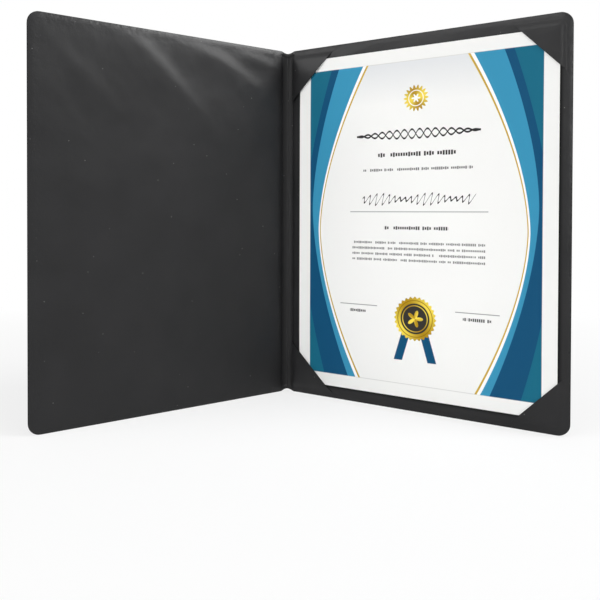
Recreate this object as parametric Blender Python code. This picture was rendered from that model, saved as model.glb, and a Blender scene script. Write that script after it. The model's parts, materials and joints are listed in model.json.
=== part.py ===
"""Padded certificate holder that stands open on its lower edges.

Two covers hang on a soft spine. Each cover is a leatherette sheet, a foam pad, a board and a liner,
sealed together round the edge. Four corner pockets on the back cover hold a letter-size sheet.
"""

import math

import bmesh
import bpy
from mathutils import Vector

MM = 0.001

# Sheet that the holder is made for
SHEET_WIDTH = 215.9 * MM
SHEET_HEIGHT = 279.4 * MM
SHEET_THICKNESS = 0.3 * MM

# Borders that the back cover shows round the sheet
BORDER_TOP = 10.8 * MM
BORDER_OUTER = 8.3 * MM
BORDER_SPINE = 5.5 * MM

# Layers of a cover, from its outside in, with the small gap that neighbouring solids keep
OUTER_VINYL = 0.6 * MM
FOAM = 1.5 * MM
BOARD = 1.6 * MM
LINER = 0.4 * MM
POCKET = 0.4 * MM
GAP = 0.3 * MM

# Sealed edge: how deep its middle lies under the outer face, and how wide it is
SEAM_DEPTH = 3.2 * MM
SEAM_FREE = 2.4 * MM
SEAM_AT_SPINE = 1.7 * MM

# Rolled shoulders between the sealed edge and the padded field
SHOULDER_OUTSIDE = 2.0 * MM
SHOULDER_INSIDE = 1.5 * MM
BOARD_CLEARANCE = 1.4 * MM
CORNER_RADIUS = 9.0 * MM
SPINE_CORNER_RADIUS = 2.0 * MM
SEAM_TIP_RADIUS = 0.3 * MM

# Corner pockets: how much of each sheet edge they cover, and how they leave the sealed edge
POCKET_COVER = 26.5 * MM
POCKET_SET_IN = 0.3 * MM
POCKET_SLOPE = 2.0 * MM

# Spine and folds. Shut, the fold lines leave room for the sheet, its pockets and a thin booklet.
FOLD_SPACING = 7.6 * MM
FOLD_REACH = 1.0 * MM
SPINE_VALLEY = 0.5 * MM
EDGE_DIP = 1.3 * MM
EDGE_CLEARANCE = 0.2 * MM
OPEN_TURN = math.radians(36.6)

# Smoothness of arcs
CORNER_STEPS = 8
SPINE_CORNER_STEPS = 3
SHOULDER_STEPS = 5
FOLD_STEPS = 6
SPINE_STEPS = 6
SHARP_ANGLE = math.radians(35)

# Depths from the outer face of a cover
FOAM_DEPTH = OUTER_VINYL + GAP
BOARD_DEPTH = FOAM_DEPTH + FOAM + GAP
LINER_DEPTH = BOARD_DEPTH + BOARD + GAP
COVER_THICKNESS = LINER_DEPTH + LINER
SHEET_DEPTH = COVER_THICKNESS + GAP
POCKET_TOP_DEPTH = SHEET_DEPTH + SHEET_THICKNESS + GAP + POCKET

# Sealed edge: vinyl, gap and liner, with the fold line in the middle of the stack
SEAM_HALF = (OUTER_VINYL + GAP + LINER) / 2
SEAM_OUTER_DEPTH = SEAM_DEPTH - SEAM_HALF
SEAM_INNER_DEPTH = SEAM_DEPTH + SEAM_HALF

# Distances from the fold line, along the cover
LIP = FOLD_REACH + GAP
PAD_START = LIP + SEAM_AT_SPINE
FIELD_START = PAD_START + SHOULDER_INSIDE
COVER_REACH = FIELD_START + BORDER_SPINE + SHEET_WIDTH + BORDER_OUTER
COVER_HEIGHT = SHEET_HEIGHT + 2 * BORDER_TOP

# Flat part of the spine, between the two folds
SPINE_HALF = FOLD_SPACING / 2 - LIP

# The V stands with the middle of its depth over the origin
FOLD_LINE_Y = COVER_REACH * math.sin(OPEN_TURN) / 2

# The way that a cover's or the spine's outside faces, in its own frame
OUTWARD = Vector((0, 1, 0))

# Looks: the colour and the roughness of each material
VINYL_LOOK = ((0.042, 0.042, 0.043), 0.5)
LINER_LOOK = ((0.045, 0.045, 0.046), 0.45)
FOAM_LOOK = ((0.60, 0.60, 0.58), 0.95)
BOARD_LOOK = ((0.33, 0.30, 0.26), 0.9)
CARD_LOOK = ((0.92, 0.92, 0.91), 0.6)


def clear_scene():
    for obj in list(bpy.data.objects):
        bpy.data.objects.remove(obj, do_unlink=True)


def material(name, colour, roughness):
    made = bpy.data.materials.new(name)
    made.use_nodes = True
    shader = made.node_tree.nodes["Principled BSDF"]
    shader.inputs["Base Color"].default_value = (*colour, 1.0)
    shader.inputs["Roughness"].default_value = roughness
    shader.inputs["Metallic"].default_value = 0.0
    made.diffuse_color = (*colour, 1.0)
    return made


def empty(name, parent, location=(0, 0, 0), turn=0.0):
    """A frame of reference, which stands on a fold line or at the origin."""
    made = bpy.data.objects.new(name, None)
    made.location = location
    made.rotation_euler = (0, 0, turn)
    made.parent = parent
    bpy.context.scene.collection.objects.link(made)
    return made


def object_from(bm, name, parent, look):
    """The bmesh as a named object under its frame, with smooth rounds and sharp edges."""
    mesh = bpy.data.meshes.new(name)
    bm.to_mesh(mesh)
    bm.free()
    mesh.shade_smooth()
    mesh.set_sharp_from_angle(angle=SHARP_ANGLE)
    mesh.materials.append(material(name, *look))
    made = bpy.data.objects.new(name, mesh)
    made.parent = parent
    bpy.context.scene.collection.objects.link(made)
    return made


def chain(bm, points, closed):
    """Vertices at the points, and the edges that join them in order."""
    verts = [bm.verts.new(point) for point in points]
    pairs = list(zip(verts, verts[1:]))
    if closed:
        pairs.append((verts[-1], verts[0]))
    return verts, [bm.edges.new(pair) for pair in pairs]


def bridge(bm, rows, closed):
    """Skins the rows in order and returns the vertices of the first and the last row."""
    chains = [chain(bm, row, closed) for row in rows]
    for (_, first), (_, second) in zip(chains, chains[1:]):
        bmesh.ops.bridge_loops(bm, edges=first + second)
    return chains[0][0], chains[-1][0]


def sheet(name, rows, closed, facing, thickness, parent, look, capped=True):
    """A sheet through the rows, facing one way, with its thickness behind that face."""
    bm = bmesh.new()
    _, last = bridge(bm, rows, closed)
    if capped:
        bm.faces.new(last)
    bmesh.ops.recalc_face_normals(bm, faces=bm.faces)
    largest = max(bm.faces, key=lambda face: face.calc_area())
    if largest.normal.dot(facing) < 0:
        bmesh.ops.reverse_faces(bm, faces=bm.faces)
    made = object_from(bm, name, parent, look)
    solid = made.modifiers.new("Thickness", "SOLIDIFY")
    solid.thickness = thickness
    solid.offset = -1
    solid.use_even_offset = True
    return made


def slab(name, rows, parent, look):
    """A closed solid through the rows, with a flat face on each end."""
    bm = bmesh.new()
    first, last = bridge(bm, rows, closed=True)
    bm.faces.new(first)
    bm.faces.new(last)
    bmesh.ops.recalc_face_normals(bm, faces=bm.faces)
    return object_from(bm, name, parent, look)


def arc(centre, radius, start, end, steps):
    """Points along an arc in the plane of a cover, from one angle to another in degrees."""
    points = []
    for step in range(steps + 1):
        angle = math.radians(start + (end - start) * step / steps)
        across = centre[0] + radius * math.cos(angle)
        up = centre[1] + radius * math.sin(angle)
        points.append((across, up))
    return points


def outline(grow_free, grow_spine, spine_radius):
    """The pad's outline grown on its three free edges and on its spine edge."""
    left = PAD_START - grow_spine
    right = COVER_REACH - SEAM_FREE + grow_free
    low = SEAM_FREE - grow_free
    high = COVER_HEIGHT - low
    outer = CORNER_RADIUS - SEAM_FREE + grow_free
    near = spine_radius
    points = arc((right - outer, low + outer), outer, -90, 0, CORNER_STEPS)
    points += arc((right - outer, high - outer), outer, 0, 90, CORNER_STEPS)
    points += arc((left + near, high - near), near, 90, 180, SPINE_CORNER_STEPS)
    points += arc((left + near, low + near), near, 180, 270, SPINE_CORNER_STEPS)
    return points


def on_cover(points, depth, side):
    """Outline points at a depth under the outer face, in the frame of a cover on that side."""
    return [Vector((side * across, SEAM_DEPTH - depth, up)) for across, up in points]


def pad_ring(grow, depth, side):
    """The pad's outline, grown evenly or drawn in, at a depth."""
    return on_cover(outline(grow, grow, SPINE_CORNER_RADIUS + grow), depth, side)


def shoulder(width, start_depth, end_depth):
    """Growth and depth along a rolled shoulder, from the sealed edge to the padded field."""
    rows = []
    for step in range(SHOULDER_STEPS + 1):
        angle = math.pi / 2 * step / SHOULDER_STEPS
        grow = -width * (1 - math.cos(angle))
        depth = start_depth + (end_depth - start_depth) * math.sin(angle)
        rows.append((grow, depth))
    return rows


def cover_skin(seam_depth, field_depth, width, side):
    """Rows of a sealed flat edge, a rolled shoulder and a flat field."""
    edge = outline(SEAM_FREE, SEAM_AT_SPINE, SEAM_TIP_RADIUS)
    rows = [on_cover(edge, seam_depth, side)]
    for grow, depth in shoulder(width, seam_depth, field_depth):
        rows.append(pad_ring(grow, depth, side))
    return rows


def cover_plate(name, depth, thickness, side, parent, look):
    """A flat layer inside a cover, clear of the shoulders round it."""
    rows = [pad_ring(-BOARD_CLEARANCE, depth, side)]
    rows.append(pad_ring(-BOARD_CLEARANCE, depth + thickness, side))
    return slab(name, rows, parent, look)


def cover(prefix, side, parent):
    """The four layers of one cover."""
    rows = cover_skin(SEAM_OUTER_DEPTH, 0.0, SHOULDER_OUTSIDE, side)
    sheet(prefix + "_outer_vinyl", rows, True, OUTWARD, OUTER_VINYL, parent, VINYL_LOOK)
    cover_plate(prefix + "_foam_pad", FOAM_DEPTH, FOAM, side, parent, FOAM_LOOK)
    cover_plate(prefix + "_board", BOARD_DEPTH, BOARD, side, parent, BOARD_LOOK)
    rows = cover_skin(SEAM_INNER_DEPTH, COVER_THICKNESS, SHOULDER_INSIDE, side)
    sheet(prefix + "_inner_liner", rows, True, -OUTWARD, LINER, parent, LINER_LOOK)


def corner_path(in_across, in_up, radius, diagonal):
    """A path round a cover's corner, from the pocket's slanted mouth back to it."""
    centre = (in_across + radius, in_up + radius)
    path = [(diagonal - in_up, in_up)]
    path += arc(centre, radius, 270, 180, CORNER_STEPS)
    path.append((in_across, diagonal - in_across))
    return path


def pocket_profile():
    """Distance drawn in from the pad's outline, and depth, up the pocket's outer face."""
    off_liner = GAP + POCKET
    wide = SHOULDER_INSIDE + off_liner
    high = COVER_THICKNESS - SEAM_INNER_DEPTH + off_liner
    rows = []
    for step in range(SHOULDER_STEPS):
        angle = math.pi / 2 * step / SHOULDER_STEPS
        drawn_in = SHOULDER_INSIDE - wide * math.cos(angle)
        depth = SEAM_INNER_DEPTH + max(high * math.sin(angle), off_liner)
        rows.append((drawn_in, depth))
    rows.append((SHOULDER_INSIDE + POCKET_SLOPE, POCKET_TOP_DEPTH))
    return rows


def corner_pocket(name, at_spine, at_top, parent):
    """A triangle of liner sheet, sealed along two edges of the cover and open on its slant."""
    seam = SEAM_AT_SPINE if at_spine else SEAM_FREE
    border = FIELD_START - LIP + BORDER_SPINE if at_spine else BORDER_OUTER
    diagonal = border + BORDER_TOP + POCKET_COVER
    tip = SEAM_TIP_RADIUS if at_spine else CORNER_RADIUS - POCKET_SET_IN
    paths = [(corner_path(POCKET_SET_IN, POCKET_SET_IN, tip, diagonal), pocket_profile()[0][1])]
    for drawn_in, depth in pocket_profile():
        radius = SPINE_CORNER_RADIUS if at_spine else CORNER_RADIUS - SEAM_FREE
        radius = max(radius - drawn_in, SEAM_TIP_RADIUS)
        path = corner_path(seam + drawn_in, SEAM_FREE + drawn_in, radius, diagonal)
        paths.append((path, depth))
    rows = []
    for path, depth in paths:
        points = []
        for across, up in path:
            reach = LIP + across if at_spine else COVER_REACH - across
            height = COVER_HEIGHT - up if at_top else up
            points.append((reach, height))
        rows.append(on_cover(points, depth, 1))
    return sheet(name, rows, False, -OUTWARD, POCKET, parent, LINER_LOOK)


def certificate(parent):
    """The card sheet, which lies on the liner under its four pockets."""
    bm = bmesh.new()
    bmesh.ops.create_cube(bm, size=1.0)
    size = Vector((SHEET_WIDTH, SHEET_THICKNESS, SHEET_HEIGHT))
    bmesh.ops.scale(bm, vec=size, verts=bm.verts)
    centre = Vector((
        FIELD_START + BORDER_SPINE + SHEET_WIDTH / 2,
        SEAM_DEPTH - SHEET_DEPTH - SHEET_THICKNESS / 2,
        COVER_HEIGHT / 2,
    ))
    bmesh.ops.translate(bm, vec=centre, verts=bm.verts)
    return object_from(bm, "certificate_sheet", parent, CARD_LOOK)


def edge_height(from_middle):
    """How far the lower edge of the spine and folds is lifted, by distance from the spine's middle."""
    share = min(from_middle / (FOLD_SPACING / 2 + LIP), 1.0)
    return EDGE_CLEARANCE + EDGE_DIP * math.cos(share * math.pi / 2) ** 2


def strip(name, stations, offset, thickness, parent, look):
    """An upright strip through stations of point, outward normal and distance from the middle."""
    low_row = []
    high_row = []
    for point, normal, from_middle in stations:
        place = point + normal * offset
        lift = edge_height(from_middle)
        low_row.append(Vector((place.x, place.y, lift)))
        high_row.append(Vector((place.x, place.y, COVER_HEIGHT - lift)))
    facing = OUTWARD * offset
    return sheet(name, [low_row, high_row], False, facing, thickness, parent, look, capped=False)


def spine_stations():
    """The spine's soft valley, sunk towards the outside at its middle."""
    stations = []
    for step in range(SPINE_STEPS + 1):
        share = 2 * step / SPINE_STEPS - 1
        across = SPINE_HALF * share
        sunk = SPINE_VALLEY * (1 + math.cos(math.pi * share)) / 2
        stations.append((Vector((across, sunk, 0)), OUTWARD, abs(across)))
    return stations


def fold_stations(side):
    """The bend from the spine into a cover, an arc that runs straight on at both ends."""
    radius = FOLD_REACH / math.tan(OPEN_TURN / 2)
    start = FOLD_SPACING / 2 - FOLD_REACH
    stations = []
    for step in range(FOLD_STEPS + 1):
        angle = OPEN_TURN * step / FOLD_STEPS
        normal = Vector((side * math.sin(angle), math.cos(angle), 0))
        centre = Vector((side * start, -radius, 0))
        along = 2 * FOLD_REACH * step / FOLD_STEPS
        stations.append((centre + normal * radius, normal, start + along))
    return stations


def soft_strips(prefix, outer_name, inner_name, stations, parent):
    """The leatherette strip and the liner strip that lie back to back."""
    strip(prefix + outer_name, stations, SEAM_HALF, OUTER_VINYL, parent, VINYL_LOOK)
    strip(prefix + inner_name, stations, -SEAM_HALF, LINER, parent, LINER_LOOK)


def build():
    clear_scene()
    holder = empty("holder", None)
    back_fold_at = (FOLD_SPACING / 2, FOLD_LINE_Y, 0)
    back = empty("back_cover_frame", holder, back_fold_at, -OPEN_TURN)
    spine = empty("spine_frame", holder, back_fold_at)
    front = empty("front_cover_frame", spine, (-FOLD_SPACING, 0, 0), OPEN_TURN)

    cover("back", 1, back)
    cover("front", -1, front)
    corner_pocket("pocket_top_outer", False, True, back)
    corner_pocket("pocket_bottom_outer", False, False, back)
    corner_pocket("pocket_top_spine", True, True, back)
    corner_pocket("pocket_bottom_spine", True, False, back)
    certificate(back)

    middle = empty("spine_middle", spine, (-FOLD_SPACING / 2, 0, 0))
    soft_strips("spine", "_outer_vinyl", "_inner_liner", spine_stations(), middle)
    soft_strips("back_fold", "_outer", "_inner", fold_stations(1), middle)
    soft_strips("front_fold", "_outer", "_inner", fold_stations(-1), middle)


build()
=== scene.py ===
"""Looks of the padded certificate holder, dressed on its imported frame.

Each cover is an outer leatherette skin and a liner skin over foam and board, welded together round
the edge. The spine and the two folds are strips of the same sheets. Sizes here are millimetres in
a cover's own frame: along the cover from its fold line, out of its outer face, and up.
"""

import json
import math

import bpy
import numpy as np
from mathutils import Matrix, Vector


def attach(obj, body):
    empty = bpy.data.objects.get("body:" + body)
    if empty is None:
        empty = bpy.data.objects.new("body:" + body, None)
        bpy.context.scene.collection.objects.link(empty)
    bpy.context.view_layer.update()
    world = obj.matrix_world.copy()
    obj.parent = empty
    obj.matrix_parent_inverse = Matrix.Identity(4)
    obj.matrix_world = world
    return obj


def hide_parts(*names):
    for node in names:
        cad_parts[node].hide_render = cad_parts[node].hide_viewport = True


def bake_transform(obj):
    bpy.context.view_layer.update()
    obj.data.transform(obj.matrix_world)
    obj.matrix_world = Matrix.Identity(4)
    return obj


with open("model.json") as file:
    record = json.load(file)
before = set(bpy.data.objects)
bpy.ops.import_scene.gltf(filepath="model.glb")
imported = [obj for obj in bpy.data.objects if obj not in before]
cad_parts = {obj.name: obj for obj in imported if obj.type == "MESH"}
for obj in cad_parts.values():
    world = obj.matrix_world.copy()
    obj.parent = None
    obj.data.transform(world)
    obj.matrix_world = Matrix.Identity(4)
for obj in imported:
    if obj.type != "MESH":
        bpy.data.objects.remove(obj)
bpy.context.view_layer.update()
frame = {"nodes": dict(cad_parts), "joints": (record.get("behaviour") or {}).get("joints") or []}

MM = 0.001

# Thickness of the sheets
SKIN = 0.5
POCKET_PLY = 0.4
CARD = 0.3

# Welded rim, as distances in from the edge: the trimmed lip and the share of it that is cut square,
# the top of the rolled bead and the end of the groove behind it, then the narrower weld at the
# spine and how soon the rim turns into it
LIP_WIDTH = 0.15
LIP_START = 0.05
BEAD_TOP = 1.2
RIM = 2.4
SPINE_LIP = 1.7
WELD_FADE = 1.5

# Heights over the seam's middle: lip, bead and groove on each side, and the flat weld at the spine
OUTER_RIM = (0.55, 1.5, 0.7)
INNER_RIM = (0.95, 1.28, 1.22)
FLAT_WELD = 0.65

# Radii of the covers' corners and of the pad's corners at the spine
CORNER_RADIUS = 9.0
SPINE_CORNER_RADIUS = 2.0

# A face is part of the cut edge, dark as painted shade along the rims and the pockets' mouths, when
# it lies this near the edge, or is turned this far from the sheet's own direction, as a cosine
CUT_EDGE = 0.2
CUT_WALL = 0.4

# Padding under the outer skin: how soon it rolls up from the weld, its crown, and where in from
# its border the skin begins to move and moves freely, with how far it wanders
SHOULDER = 1.9
PAD_CROWN = 0.3
CROWN_REACH = 26.0
OUTER_LOOSE = (1, 18)
OUTER_DRIFT = 0.1

# Padding under the liner, in the same way
LINER_SWELL = 5.0
LINER_CROWN = 0.22
LINER_CROWN_REACH = 14.0
LINER_LOOSE = (-1.8, 5.5)
LINER_DRIFT = 0.07

# How a buckle fades towards the ends of its crest, and the steps in which a crest is followed
BUCKLE_ENDS = (0.01, 0.99)
BUCKLE_FADE = 0.7
CREST_STEPS = 40

# Corner pockets: their outline, and their height over the weld and over the liner
POCKET_SET_IN = 0.3
POCKET_AT_WELD = 0.12
POCKET_OVER_LINER = 0.5
POCKET_OFF_WELD = (4, 8)

# How a pocket climbs over the card's corner, and bulges past it
POCKET_RAMP = (2.0, 6.8)
POCKET_CORNER = 2.2
POCKET_OVER_SPINE = 12.0
POCKET_SWELL = 20.0
POCKET_BULGE = 0.15
SPINE_POCKET_BULGE = 0.85

# How a pocket's mouth lifts off the card
MOUTH_LIFT = 0.1
MOUTH_REACH = 6
MOUTH_RAMP = (1, 8)

# The card's bow and slow wave, and the share of its half width and height that bows freely
CARD_BOW = 0.42
CARD_WAVE = 0.05
FREE_ACROSS = 0.55
FREE_UP = 0.6

# Painted shadow of the card on the liner past its free edges, and a fainter one beside it
CARD_SHADE_FROM = 0.2
CARD_SHADE_REACH = 3.4
FAINT_SHADE_REACH = 1.2
FAINT_SHADE_SHARE = 0.6
SHADE_STEPS = 6
SHADE_CLEARANCE = 0.4

# Spine and folds: the valley between the covers, its crease, and shade painted along them, less on
# it
FOLD_REACH = 1.3
VALLEY = 0.62
CREASE = 0.25
CREASE_WIDTH = 0.35
SPINE_SHADE = 0.5
CREASE_HIGHLIGHT_SHARE = 0.8
CREASE_HIGHLIGHT_WIDTH = 1.5

# How far the ends of the spine draw in and how that fades into the covers, and the liner's roll
EDGE_DIP = 2.0
DIP_REACH = 6.4
DIP_FADE = 12
SPINE_GROOVE = 0.2
SPINE_ROLL = 4.8

# Foam pads: pinched edge, crown, rounding, how much tighter their corners are than the weld's, and
# how far a face has to look out to be the outer one, as a cosine
FOAM_PINCH = 0.4
FOAM_CROWN = 0.25
FOAM_ROUNDING = 0.4
FOAM_TIGHTER = 1.4
FOAM_CORNER_STEPS = 6
FOAM_OUTWARD = 0.9

# Fineness of the grids
BEAD_CELLS = 6
GROOVE_CELLS = 5
SHOULDER_CELLS = 7
EASE = (0.6, 1.0, 1.4, 1.8)
FIELD_CELL = 2.2
POCKET_CELL = 1.3
CARD_CELL = 3.6
FOLD_CELLS = 10
SPINE_CELLS = 22
SMOOTH_ANGLE = math.radians(40)

# Camera: a lens this long, in pixels of a picture 600 wide, whose axis meets the picture here, with
# its place in millimetres and its turns in degrees
PICTURE = 600
FOCAL_PIXELS = 759.29
MIDDLE_PIXEL = (240.97, 223.92)
SENSOR = 36.0
CAMERA_PLACE = (-41.34, -604.37, 159.36)
CAMERA_PITCH = 0.921
CAMERA_ROLL = -0.10

# Distances in from the edge over which the grain comes back, the puckers end and the shine ends
GRAIN_RETURNS = (1.9, 3.2)
PUCKERS_END = (2.6, 14.0)
SHINE_ENDS = (1.2, 3.4)

# Half the width and height of the printed panel, and half the blur of an ink's edge
PANEL = (97, 129)
INK_EDGE = 0.15

# Even light from all round, and how the floor clears to white between two distances in metres
FILL_LIGHT = 0.32
FLOOR_BY_OBJECT = 0.72
FLOOR_CLEARS = (0.25, 0.75)

# Each lamp's place, target and size in metres, its power in watts and its spread in degrees
LAMPS = (
    ("lamp_above", (0.1, -0.5, 1.3), (0, 0, 0.15), 1.1, 6.8, 180),
    ("lamp_right", (1.2, -0.28, 1.0), (-0.1, 0, 0.25), 0.55, 12, 180),
    ("lamp_left", (-1.05, -0.82, 1.1), (0.1, 0, 0.25), 0.6, 4.2, 180),
    ("lamp_side", (-1.4, -0.45, 0.84), (0.1, 0, 0.25), 0.4, 3.4, 180),
    ("lamp_front", (-0.45, -1.35, 0.5), (0, 0.05, 0.17), 0.8, 0.28, 40),
    ("lamp_fold", (-0.3, -1.3, 0.45), (0.02, 0.06, 0.12), 0.3, 0.06, 16),
)


# Places

fold = {joint["name"]: joint for joint in frame["joints"]}
TURN = -math.radians(fold["back_fold"]["range_deg"][0])


def cover_place(joint, side):
    """The frame of a cover in millimetres: along it, out of its outer face, and up."""
    foot = Vector(fold[joint]["pos_m"])
    along = Vector((side * math.cos(TURN), -math.sin(TURN), 0)) * MM
    out = Vector((side * math.sin(TURN), math.cos(TURN), 0)) * MM
    up = Vector((0, 0, MM))
    place = Matrix((along, out, up)).transposed().to_4x4()
    place.translation = (foot.x, foot.y, 0)
    return place


def spine_place():
    """The frame of the spine in millimetres, from its middle."""
    left = Vector(fold["front_fold"]["pos_m"])
    right = Vector(fold["back_fold"]["pos_m"])
    place = Matrix.Diagonal((MM, MM, MM, 1))
    place.translation = ((left.x + right.x) / 2, (left.y + right.y) / 2, 0)
    return place


def local_box(cad_node, place):
    """Lowest and highest corner of a CAD node in one of those frames."""
    inward = place.inverted()
    corners = np.array([inward @ vertex.co for vertex in frame["nodes"][cad_node].data.vertices])
    return corners.min(0), corners.max(0)


BACK = cover_place("back_fold", 1)
FRONT = cover_place("front_fold", -1)
SPINE = spine_place()

skin_low, skin_high = local_box("back_outer_vinyl", BACK)
liner_low, _ = local_box("back_inner_liner", BACK)
card_low, card_high = local_box("certificate_sheet", BACK)
pocket_low, _ = local_box("pocket_top_outer", BACK)
_, spine_high = local_box("spine_outer_vinyl", SPINE)

LIP = skin_low[0]
REACH = skin_high[0]
HEIGHT = skin_high[2]
OUTER_FACE = skin_high[1]
INNER_FACE = liner_low[1]
PAD_START = LIP + SPINE_LIP
CARD_FACE = card_low[1]
POCKET_FACE = pocket_low[1]
SPINE_HALF = spine_high[0]
SIDE_BORDER = REACH - card_high[0] - RIM
TOP_BORDER = HEIGHT - card_high[2] - RIM
LIP_ACROSS = SPINE_HALF + FOLD_REACH * (1 + math.cos(TURN))
LIP_BACK = FOLD_REACH * math.sin(TURN)


# Making and finishing a piece

def deselect():
    """Object mode with nothing selected, which the operators below start from."""
    if bpy.context.object and bpy.context.object.mode != "OBJECT":
        bpy.ops.object.mode_set(mode="OBJECT")
    bpy.ops.object.select_all(action="DESELECT")


def points_of(piece):
    """The vertices of a piece as an array."""
    points = np.zeros(len(piece.data.vertices) * 3)
    piece.data.vertices.foreach_get("co", points)
    return points.reshape(-1, 3)


def flat_grid(name, across, up):
    """A grid primitive whose columns and rows are drawn to the given stations."""
    deselect()
    bpy.ops.mesh.primitive_grid_add(
        x_subdivisions=len(across) - 1, y_subdivisions=len(up) - 1, size=2
    )
    piece = bpy.context.object
    piece.name = piece.data.name = name
    points = points_of(piece)
    column = np.rint((points[:, 0] + 1) / 2 * (len(across) - 1)).astype(int)
    row = np.rint((points[:, 1] + 1) / 2 * (len(up) - 1)).astype(int)
    points[:, 0] = across[column]
    points[:, 1] = up[row]
    piece.data.vertices.foreach_set("co", points.ravel())
    return piece


def lay(piece, place, along, out, up, facing, edge, painted_shade=None):
    """Puts the grid's points in a frame, turns its faces out or in, and notes its rim and its
    painted shade.
    """
    points = np.stack([along, out, up, np.ones(len(along))], axis=1) @ np.array(place).T
    piece.data.vertices.foreach_set("co", points[:, :3].ravel())
    piece.data.update()
    normals = np.zeros(len(piece.data.polygons) * 3)
    piece.data.polygons.foreach_get("normal", normals)
    mean = Vector(normals.reshape(-1, 3).mean(axis=0))
    wanted = place.to_3x3() @ Vector((0, facing, 0))
    if mean.dot(wanted) < 0:
        piece.data.flip_normals()
    from_edge = piece.data.attributes.new("from_edge", "FLOAT", "POINT")
    from_edge.data.foreach_set("value", np.asarray(edge, dtype=np.float32))
    if painted_shade is not None:
        shade_attribute = piece.data.attributes.new("painted_shade", "FLOAT", "POINT")
        shade_attribute.data.foreach_set("value", np.asarray(painted_shade, dtype=np.float32))


def apply_modifier(piece, kind, **settings):
    """Adds one modifier with its settings and applies it."""
    deselect()
    bpy.context.view_layer.objects.active = piece
    piece.select_set(True)
    made = piece.modifiers.new(kind.title(), kind)
    for name, value in settings.items():
        setattr(made, name, value)
    bpy.ops.object.modifier_apply(modifier=made.name)


def finish_sheet(piece, thickness, looks, place=None):
    """Gives a sheet its thickness behind its face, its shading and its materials."""
    apply_modifier(piece, "SOLIDIFY", thickness=thickness * MM, offset=-1.0)
    bpy.ops.object.shade_smooth_by_angle(angle=SMOOTH_ANGLE)
    piece.data.materials.clear()
    for look in looks:
        piece.data.materials.append(look)
    if len(looks) > 1:
        # Faces on the edge and side walls take the darker cut edge, painted shade along rims and
        # mouths
        edge = piece.data.attributes["from_edge"].data
        out = (place.to_3x3() @ Vector((0, 1, 0))).normalized()
        for face in piece.data.polygons:
            nearness = sum(edge[vertex].value for vertex in face.vertices) / len(face.vertices)
            wall = abs(face.normal.dot(out)) < CUT_WALL
            face.material_index = 1 if nearness < CUT_EDGE or wall else 0


# Forms shared by the skins

def ease(value, low, high):
    """0 at low, 1 at high, and smooth between them."""
    share = np.clip((value - low) / (high - low), 0, 1)
    return share * share * (3 - 2 * share)


def from_border(lip):
    """Distances from a border, close together on the bead and at the foot of the shoulder."""
    edge_steps = np.linspace(0, LIP_WIDTH, 3)
    turn = np.linspace(0, math.pi / 2, BEAD_CELLS + 1)[1:]
    bead_steps = LIP_WIDTH + (BEAD_TOP - LIP_WIDTH) * (1 - np.cos(turn))
    groove_steps = np.linspace(bead_steps[-1], lip, GROOVE_CELLS + 1)[1:]
    turn = np.linspace(0, math.pi / 2, SHOULDER_CELLS + 1)[1:]
    roll_steps = lip + SHOULDER * (1 - np.cos(turn))
    field_steps = roll_steps[-1] + np.cumsum(EASE)
    return np.concatenate([edge_steps, bead_steps, groove_steps, roll_steps, field_steps])


def from_spine():
    """Distances from a cover's lip at the spine, close together where the liner rolls down."""
    turn = np.linspace(0, math.pi / 2, SHOULDER_CELLS + 2)
    roll_steps = SPINE_GROOVE + SPINE_ROLL * (1 - np.cos(turn))
    return np.concatenate([[0], roll_steps, roll_steps[-1] + np.cumsum(EASE)])


def dip(across):
    """How far the upper and lower ends draw in at a distance from the middle of the spine."""
    share = np.clip(np.abs(across) / DIP_REACH, 0, 1)
    return EDGE_DIP * (1 - share ** 2) ** 1.5


def between(near, far, cell):
    """Stations from both borders, with even cells between them."""
    count = round((far[-1] - near[-1]) / cell)
    middle = np.linspace(near[-1], far[-1], count + 1)[1:-1]
    return np.concatenate([near, middle, far[::-1]])


def rows_up(cell=FIELD_CELL):
    """Heights of the rows, from the lower rim to the upper one."""
    border = from_border(RIM)
    return between(border, HEIGHT - border, cell)


def rounded(along, up):
    """Draws the grid's corners round, and gives the distances from the edge and into the pad."""
    middle = HEIGHT / 2
    side = np.where(up < middle, -1.0, 1.0)
    from_middle = np.abs(up - middle)
    edge = np.minimum(REACH - along, middle - from_middle)
    a = (along - (REACH - CORNER_RADIUS)) / CORNER_RADIUS
    b = (from_middle - (middle - CORNER_RADIUS)) / CORNER_RADIUS
    corner = (a > 0) & (b > 0)
    ring = np.maximum(a, b)
    pull = np.where(corner, ring / np.maximum(np.hypot(a, b), 1e-9), 1.0)
    along = np.where(corner, REACH - CORNER_RADIUS * (1 - a * pull), along)
    from_middle = np.where(corner, middle - CORNER_RADIUS * (1 - b * pull), from_middle)
    edge = np.where(corner, CORNER_RADIUS * (1 - ring), edge)
    pad = np.minimum(edge - RIM, along - PAD_START)
    a = 1 - (along - PAD_START) / SPINE_CORNER_RADIUS
    b = 1 - (edge - RIM) / SPINE_CORNER_RADIUS
    ring = np.maximum(a, b)
    corner = (a > 0) & (b > 0) & (ring <= 1) & (along < REACH / 2)
    pull = np.where(corner, ring / np.maximum(np.hypot(a, b), 1e-9), 1.0)
    along = np.where(corner, PAD_START + SPINE_CORNER_RADIUS * (1 - a * pull), along)
    lift = SPINE_CORNER_RADIUS * b * (1 - pull)
    from_middle = np.where(corner, from_middle - lift, from_middle)
    drawn_in = dip(LIP_ACROSS + (along - LIP) * math.cos(TURN))
    from_middle = from_middle - drawn_in * np.clip(1 - edge / DIP_FADE, 0, 1)
    return along, middle + side * from_middle, edge, pad


def rounded_lip(edge):
    """The rounding of the trimmed edge: nearly 0 on it, and 1 once the lip is passed."""
    return np.sqrt(1 - (1 - np.clip(edge / LIP_WIDTH, LIP_START, 1)) ** 2)


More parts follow.
